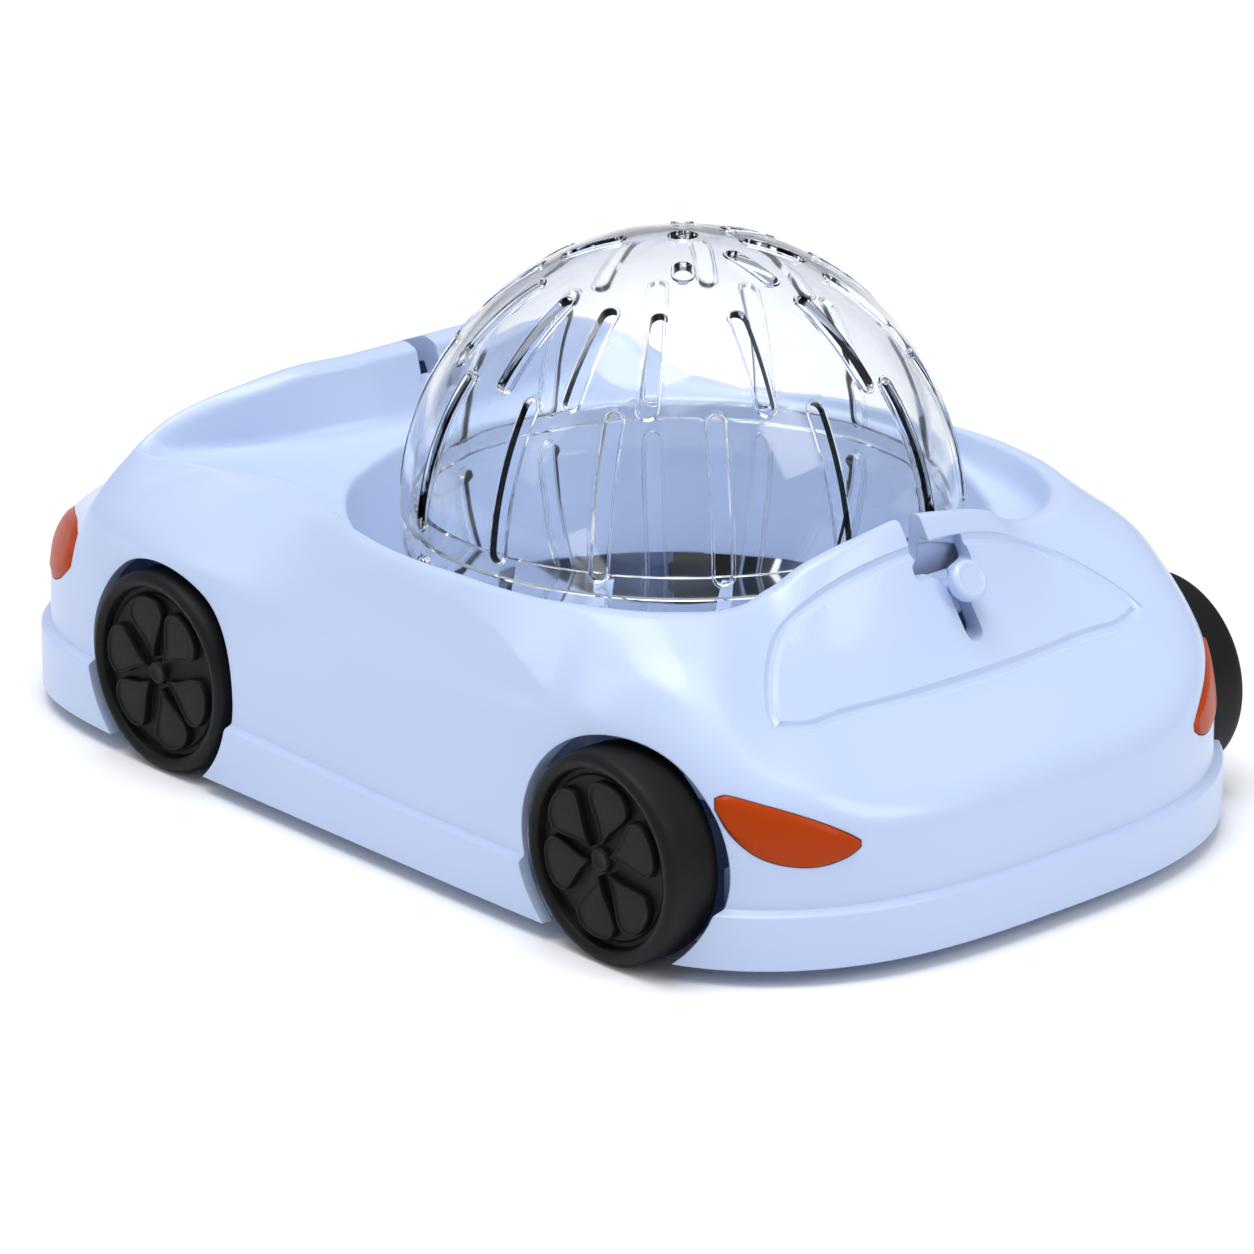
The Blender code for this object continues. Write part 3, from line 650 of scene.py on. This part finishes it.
def panel_line():
    """The half-moon line pressed into the rear cowl, as one closed path of (y, z)."""
    reach = PANEL_HALF_WIDTH * 0.985
    arch = []
    for i in range(81):
        y = -reach + 2 * reach * i / 80
        arch.append((y, PANEL_FOOT + PANEL_RISE * (1 - (y / PANEL_HALF_WIDTH) ** 2) ** 0.75))
    foot = []
    for i in range(1, 60):
        t = i / 60
        drop = 1.5 * min(1.0, 12 * min(t, 1 - t)) ** 0.5
        foot.append((reach * (1 - 2 * t) * 0.985, arch[0][1] - drop))
    return arch + foot


def panel_groove():
    """A round tool that runs along the panel line and bites a little way into the skin."""
    path = [cowl_point(y, z, 1.2) for y, z in panel_line()]
    normal = (-math.cos(COWL_LEAN), 0.0, math.sin(COWL_LEAN))
    return tube(path, 1.9, [normal] * len(path))


def arch_shape(axle_x, side, radius, inner_y):
    """A short round bar along the axle, from inner_y out past the body's side."""
    rings = []
    for y in (inner_y, HALF_WIDTH + 12.0):
        ring = []
        for i in range(ARCH_SEGMENTS):
            angle = 2 * math.pi * (i + 0.5) / ARCH_SEGMENTS
            ring.append((axle_x + radius * math.cos(angle), side * y, WHEEL_R + radius * math.sin(angle)))
        rings.append(ring)
    return prism(*rings)


def lamp_sheet(end, side, grow, offset, columns=28, rows=8, dome=0.0):
    """A grid of points over a lamp, a set distance off the body's skin."""
    lamp = LAMPS[end]
    first, last = lamp[0][0], lamp[-1][0]
    sheet = []
    for i in range(columns + 1):
        t = i / columns
        angle = first + (last - first) * t
        low, high = lamp_edges(lamp, angle)
        swing = math.degrees(grow / 110.0) * (2 * t - 1) * (1 if last > first else -1)
        column = []
        for k in range(rows + 1):
            u = k / rows
            z = low - grow + (high - low + 2 * grow) * u
            rim = min(t, 1 - t, u * 0.35, (1 - u) * 0.35) / 0.05
            lift = offset + dome * (1 - max(0.0, 1 - rim) ** 2) ** 0.5
            where = angle + swing
            column.append(point_at(where * side, side_radius(where, z) + lift, z))
        sheet.append(column)
    return sheet


def lamp_edges(lamp, angle):
    """Lower and upper edge of a lamp at an angle, on a smooth curve."""
    for k, ((a0, low0, high0), (a1, low1, high1)) in enumerate(zip(lamp, lamp[1:])):
        if min(a0, a1) - 1e-6 <= angle <= max(a0, a1) + 1e-6:
            break
    before = lamp[max(k - 1, 0)]
    after = lamp[min(k + 2, len(lamp) - 1)]
    u = (angle - a0) / (a1 - a0)
    found = []
    for p, (b, c) in ((1, (low0, low1)), (2, (high0, high1))):
        leave = (c - before[p]) / max(abs(a1 - before[0]), 1.0) * abs(a1 - a0)
        arrive = (after[p] - b) / max(abs(after[0] - a0), 1.0) * abs(a1 - a0)
        found.append(
            b * (2 * u**3 - 3 * u**2 + 1)
            + leave * (u**3 - 2 * u**2 + u)
            + c * (3 * u**2 - 2 * u**3)
            + arrive * (u**3 - u**2)
        )
    return found


def sheet_solid(outer, inner):
    """A closed solid between two sheets of the same grid."""
    bm = bmesh.new()
    grids = [[[bm.verts.new(p) for p in column] for column in sheet] for sheet in (outer, inner)]
    rims = []
    for grid in grids:
        for a, b in zip(grid, grid[1:]):
            for k in range(len(a) - 1):
                bm.faces.new((a[k], b[k], b[k + 1], a[k + 1]))
        rim = [column[0] for column in grid] + grid[-1][1:]
        rim += [column[-1] for column in grid[-2::-1]] + grid[0][-2:0:-1]
        rims.append(rim)
    for i in range(len(rims[0])):
        j = (i + 1) % len(rims[0])
        bm.faces.new((rims[0][i], rims[0][j], rims[1][j], rims[1][i]))
    bmesh.ops.triangulate(bm, faces=bm.faces)
    return bm


def make_body(finish):
    columns = []
    for i in range(BODY_COLUMNS):
        degrees = 360 * i / BODY_COLUMNS
        profile = outer_profile(degrees) + hollow_profile(degrees)
        columns.append([point_at(degrees, r, z) for r, z in profile])
    body = add_piece("body", closed_loft(columns), finish)
    nose_crest = section_at(0)[2][0]
    notch = box((WELL_R + 3.3, -SLIT_HALF, NOTCH_Z), (nose_crest + 6.4, SLIT_HALF, 90.0))
    opening = slot_outline()
    slot = prism([(COWL_BACK_X, y, z) for y, z in opening], [(COWL_FACE_X, y, z) for y, z in opening])
    slit = box((COWL_FACE_X - 2.0, -SLIT_HALF, WINDOW_LOW + 1.0), (-60.0, SLIT_HALF, 90.0))
    pockets = []
    for end in ("front", "rear"):
        for side in (1, -1):
            outer = lamp_sheet(end, side, 0.15, 3.0)
            inner = lamp_sheet(end, side, 0.15, -1.6)
            pockets.append(sheet_solid(outer, inner))
            pockets.append(arch_shape(AXLE_X[end], side, WHEEL_R + ARCH_GAP, ARCH_DEPTH_Y))
    steps = [
        (add_piece("notch", notch), "DIFFERENCE"),
        (add_piece("slot", slot), "DIFFERENCE"),
        (add_piece("slit", slit), "DIFFERENCE"),
        (add_piece("pockets", join(pockets)), "DIFFERENCE"),
        (add_piece("panel_line", panel_groove()), "DIFFERENCE"),
    ]
    carve(body, steps, 30.0)
    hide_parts("body_shell")
    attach(body, "car")


def make_lamps(finish):
    for end, name in (("front", "headlamp"), ("rear", "tail_lamp")):
        for side in (1, -1):
            outer = lamp_sheet(end, side, 0.0, -0.1, dome=0.7)
            inner = lamp_sheet(end, side, 0.0, -1.5)
            lens = add_piece(f"{name}_lens_{side_name(side)}", sheet_solid(outer, inner), finish)
            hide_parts(f"{name}_{side_name(side)}")
            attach(lens, "car")


# ---------------------------------------------------------------- wheels


def wheel_profile():
    """(radius, distance from the outer face) from the face's middle round to the bore."""
    corners = [
        ((1.2, 0.9), 0, 0),
        ((1.9, 0.6), 0.4, 3),
        ((2.5, 0.8), 0.4, 3),
        ((2.8, 2.4), 0.3, 2),
        ((17.2, 2.4), 0.3, 2),
        ((17.5, 3.0), 0.3, 2),
        ((18.6, 3.0), 0.3, 2),
        ((19.0, 0.8), 0.5, 3),
        ((20.5, 0.0), 1.2, 5),
        ((22.1, 1.0), 1.3, 5),
        ((WHEEL_R, 3.2), 1.2, 4),
        ((WHEEL_R, WHEEL_WIDTH - 2.6), 1.2, 4),
        ((21.6, WHEEL_WIDTH - 0.4), 1.0, 3),
        ((18.5, WHEEL_WIDTH), 0.8, 3),
        ((17.0, WHEEL_WIDTH - 5.0), 0.8, 3),
        ((5.0, WHEEL_WIDTH - 6.0), 0.8, 3),
        ((AXLE_R + 1.5, WHEEL_WIDTH), 0.4, 2),
        ((AXLE_R, WHEEL_WIDTH), 0, 0),
        ((AXLE_R, WHEEL_WIDTH - BORE_DEPTH), 0, 0),
    ]
    return rounded(corners)


def petal(middle):
    """One raised leaf of the wheel's face, with a thin raised outline round a shallow dish."""
    spread = math.radians(27.0)
    corners = [
        ((3.4, 0.0), 0.3, 2),
        ((7.0, -0.5 * spread), 1.6, 4),
        ((11.0, -0.86 * spread), 2.2, 4),
        ((14.6, -0.93 * spread), 2.2, 4),
        ((16.9, -0.55 * spread), 2.2, 5),
        ((17.3, 0.0), 1.6, 3),
        ((16.9, 0.55 * spread), 2.2, 5),
        ((14.6, 0.93 * spread), 2.2, 4),
        ((11.0, 0.86 * spread), 2.2, 4),
        ((7.0, 0.5 * spread), 1.6, 4),
    ]
    flat = [((r * math.cos(a), r * math.sin(a)), reach, steps) for (r, a), reach, steps in corners]
    edge = rounded(flat)
    centre = [sum(p[i] for p in edge) / len(edge) for i in (0, 1)]
    rings = []
    for shrink, height in ((0.0, 2.7), (0.0, 0.9), (0.03, 0.55), (0.08, 0.5), (0.14, 0.85), (0.4, 0.75)):
        rings.append([(*(c + (p - c) * (1 - shrink) for p, c in zip(q, centre)), height) for q in edge])
    bm = bmesh.new()
    loops = [[bm.verts.new(p) for p in ring] for ring in rings]
    for low, high in zip(loops, loops[1:]):
        for i in range(len(low)):
            j = (i + 1) % len(low)
            bm.faces.new((low[i], low[j], high[j], high[i]))
    bm.faces.new(loops[0])
    bm.faces.new(loops[-1])
    bmesh.ops.rotate(bm, verts=bm.verts, cent=(0, 0, 0), matrix=Matrix.Rotation(middle, 3, "Z"))
    return bm


def make_wheels(finish):
    for end in ("front", "rear"):
        for side in (1, -1):
            petals = []
            for k in range(PETALS):
                lean = PETAL_LEAN if k % 2 else -PETAL_LEAN
                petals.append(petal(math.radians(WHEEL_TURN[end] + 360 * k / PETALS + lean)))
            shapes = [turned(wheel_profile(), 96), join(petals)]
            turn = Matrix.Rotation(side * math.pi / 2, 3, "X")
            for bm in shapes:
                bmesh.ops.rotate(bm, verts=bm.verts, cent=(0, 0, 0), matrix=turn)
                bmesh.ops.translate(bm, vec=(AXLE_X[end], side * WHEEL_FACE_Y, WHEEL_R), verts=bm.verts)
            name = f"wheel_{end}_{side_name(side)}"
            wheel = add_piece(f"moulded_{name}", shapes[0], finish)
            carve(wheel, [(add_piece("petals", shapes[1]), "UNION")], 32.0)
            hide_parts(name)
            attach(wheel, f"{end}_wheelset")


# ---------------------------------------------------------------- ball


def ball_profile(top):
    """(radius, height above the equator) of the upper half, or of the lower one upside down."""
    inner = BALL_R - BALL_WALL
    hole = math.asin(POLE_HOLE_R / BALL_R)
    start = math.asin(BALL_SPLIT / 2 / BALL_R)
    steps = 40
    angles = [start + (math.pi / 2 - hole - start) * i / steps for i in range(steps + 1)]
    outside = [(BALL_R * math.cos(a), BALL_R * math.sin(a)) for a in reversed(angles)]
    inside = [(inner * math.cos(a), inner * math.sin(a)) for a in angles]
    if top:
        return outside + inside
    lip_out = inner - 0.6
    lip_in = lip_out - BALL_LIP_WIDTH
    lip = [(lip_out, inside[0][1]), (lip_out, 1 - BALL_LIP_HEIGHT), (lip_in, 1 - BALL_LIP_HEIGHT)]
    above_lip = [p for p in inside if p[1] > BALL_LIP_HEIGHT]
    return outside + lip + [(lip_in, BALL_LIP_HEIGHT)] + above_lip


def vent_outline(turn, low, high, grow):
    """Directions from the ball's centre to points round a round-ended vent."""
    middle = math.radians((low + high) / 2)
    half = BALL_R * math.sin(math.radians((high - low) / 2))
    width = VENT_WIDTH / 2 + grow
    corners = []
    for across, first in ((half - VENT_WIDTH / 2, -90), (-(half - VENT_WIDTH / 2), 90)):
        for k in range(9):
            angle = math.radians(first + 180 * k / 8)
            corners.append((across + width * math.cos(angle), width * math.sin(angle)))
    reach = BALL_R * math.cos(math.radians((high - low) / 2))
    place = Matrix.Rotation(math.radians(turn), 3, "Z") @ Matrix.Rotation(-middle, 3, "Y")
    filled = []
    for i, (up, across) in enumerate(corners):
        filled.append((up, across))
        if i in (8, 17):
            other = corners[(i + 1) % 18]
            for k in range(1, 8):
                filled.append((up + (other[0] - up) * k / 8, across + (other[1] - across) * k / 8))
    found = []
    for up, across in filled:
        found.append((place @ Vector((math.sqrt(BALL_R**2 - up**2), across, up))).normalized())
    return found


def vents_of_half():
    found = []
    for turns, low, high in VENT_BANDS:
        found += [(turn, low, high) for turn in turns]
    width = math.degrees(2 * POLE_HOLE_R / BALL_R)
    for turn in ROUND_VENTS:
        found.append((turn, ROUND_VENT_LATITUDE - width / 2, ROUND_VENT_LATITUDE + width / 2))
    return found


def make_ball(finish):
    for name, top in (("upper", True), ("lower", False)):
        cutters, rims = [], []
        for turn, low, high in vents_of_half():
            edge = vent_outline(turn, low, high, 0.0)
            cutters.append(prism([p * (BALL_R - 5) for p in edge], [p * (BALL_R + 5) for p in edge]))
            ridge = vent_outline(turn, low, high, VENT_RIM * 0.7)
            rims.append(tube([p * (BALL_R - 0.1) for p in ridge], VENT_RIM, ridge, 8))
        shapes = [turned(ball_profile(top), 160, closed=True), join(cutters), join(rims)]
        for bm in shapes:
            if not top:
                bmesh.ops.scale(bm, vec=(1, 1, -1), verts=bm.verts)
            bmesh.ops.translate(bm, vec=(0, BALL_REST_Y, BALL_R), verts=bm.verts)
        bmesh.ops.triangulate(shapes[0], faces=shapes[0].faces)
        half = add_piece(f"clear_{name}_half", shapes[0], finish)
        steps = [(add_piece("rims", shapes[2]), "UNION"), (add_piece("vents", shapes[1]), "DIFFERENCE")]
        carve(half, steps, 40.0)
        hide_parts(f"ball_{name}")
        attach(half, f"ball_{name}_half")


# ---------------------------------------------------------------- ball keeper


def make_keeper(finish):
    place = Matrix.Rotation(math.pi, 3, "Z") @ Matrix.Rotation(-COWL_LEAN, 3, "Y")
    out = COWL_TOP[0] + (COWL_TOP[1] - KNOB_Z) * COWL_RUN / COWL_DROP
    base = Vector((-out, KNOB_Y, KNOB_Z))
    corners = [
        ((1.9, -5.6), 0, 0),
        ((1.9, 2.0), 0.4, 3),
        ((KNOB_R - 0.4, 2.0), 0.4, 3),
        ((KNOB_R, 3.4), 0.6, 3),
        ((KNOB_R, 4.7), 0.7, 4),
        ((KNOB_R - 0.9, 5.4), 0.5, 3),
        ((KNOB_R - 1.5, 5.2), 0.3, 2),
        ((0.8, 5.3), 0, 0),
    ]
    shape = turned(rounded(corners), 48)
    bmesh.ops.rotate(shape, verts=shape.verts, cent=(0, 0, 0), matrix=Matrix.Rotation(math.pi / 2, 3, "Y"))
    plate = box((-5.5, -6.0, -5.0), (-3.9, 6.0, 4.5))
    bmesh.ops.bevel(plate, geom=plate.edges[:], offset=0.4, segments=2, affect="EDGES")
    for name, bm in (("knob", shape), ("plate", plate)):
        bmesh.ops.rotate(bm, verts=bm.verts, cent=(0, 0, 0), matrix=place)
        bmesh.ops.translate(bm, vec=base, verts=bm.verts)
        made = add_piece(f"ball_keeper_{name}", bm, finish, 32.0)
        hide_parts(f"keeper_{name}")
        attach(made, "keeper")


# ---------------------------------------------------------------- hidden frame pieces


def finish_node(node, finish):
    """Give a carried-over solid its finish."""
    for slot in node.material_slots:
        slot.material = finish
    if not node.material_slots:
        node.data.materials.append(finish)


def finish_frame(nodes, blue, steel):
    for name, node in nodes.items():
        if name == "chassis_tray" or name.startswith("axle_cap"):
            finish_node(node, blue)
        elif name.startswith("screw") or name.endswith("_axle"):
            finish_node(node, steel)


# ---------------------------------------------------------------- stage


def soft_box(name, place, target, size, power):
    light = bpy.data.lights.new(name, "AREA")
    light.shape = "RECTANGLE"
    light.size, light.size_y = size
    light.energy = power
    lamp = bpy.data.objects.new(name, light)
    bpy.context.scene.collection.objects.link(lamp)
    lamp.location = place
    lamp.rotation_euler = (Vector(target) - Vector(place)).to_track_quat("-Z", "Y").to_euler()


def make_stage():
    scene = bpy.context.scene
    scene.view_settings.view_transform = "Standard"
    bm = bmesh.new()
    bmesh.ops.create_grid(bm, x_segments=1, y_segments=1, size=4.0)
    mesh = bpy.data.meshes.new("floor")
    bm.to_mesh(mesh)
    bm.free()
    floor = bpy.data.objects.new("floor", mesh)
    scene.collection.objects.link(floor)
    paper, tree = new_material("white_card_matt")
    shader = add_node(
        tree, "ShaderNodeBsdfPrincipled", values={"Base Color": hex_colour("#FAFBFD"), "Roughness": 0.9}
    )
    add_node(tree, "ShaderNodeOutputMaterial", links={"Surface": shader.outputs[0]})
    mesh.materials.append(paper)
    world = bpy.data.worlds.new("studio")
    world.use_nodes = True
    sky = world.node_tree.nodes["Background"]
    sky.inputs["Color"].default_value = hex_colour("#F4F7FF")
    sky.inputs["Strength"].default_value = 0.40
    scene.world = world
    soft_box("side_box", (0.55, 1.15, 0.85), (0, 0, 0.06), (0.5, 0.9), 2.2)
    soft_box("top_box", (-0.35, 0.1, 1.3), (0, 0, 0.05), (0.9, 0.7), 4.5)
    soft_box("tail_box", (-1.2, -0.3, 0.9), (0, 0, 0.06), (0.5, 0.6), 4.0)
    day = bpy.data.lights.new("key_sun", "SUN")
    day.energy = 1.6
    day.angle = math.radians(40)
    sun = bpy.data.objects.new("key_sun", day)
    scene.collection.objects.link(sun)
    sun.rotation_euler = Vector((-0.1, -0.15, -1.0)).to_track_quat("-Z", "Y").to_euler()
    view = bpy.data.cameras.new("camera")
    view.sensor_width = 36.0
    view.lens = 198.96
    camera = bpy.data.objects.new("camera", view)
    scene.collection.objects.link(camera)
    camera.location = (-1.0451, 0.9362, 0.5463)
    aim = Vector((-0.0129, 0.0113, 0.0355))
    camera.rotation_euler = (aim - camera.location).to_track_quat("-Z", "Y").to_euler()
    scene.camera = camera


def main():
    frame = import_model()
    blue = moulded_plastic("light_blue_abs_moulded", "#BACBEC", "#C1D1EF", 0.32, 1.5, 0.012, coat=0.25)
    black = moulded_plastic("black_abs_moulded", "#0B0B0B", "#101010", 0.55, 0.9, 0.03, ior=1.3)
    orange = moulded_plastic("orange_abs_moulded", "#A83700", "#B43F00", 0.35, 1.5, 0.01, ior=1.25)
    clear = clear_polystyrene()
    steel = plated_steel()
    make_body(blue)
    make_lamps(orange)
    make_wheels(black)
    make_ball(clear)
    make_keeper(blue)
    finish_frame(frame["nodes"], blue, steel)
    make_stage()


main()
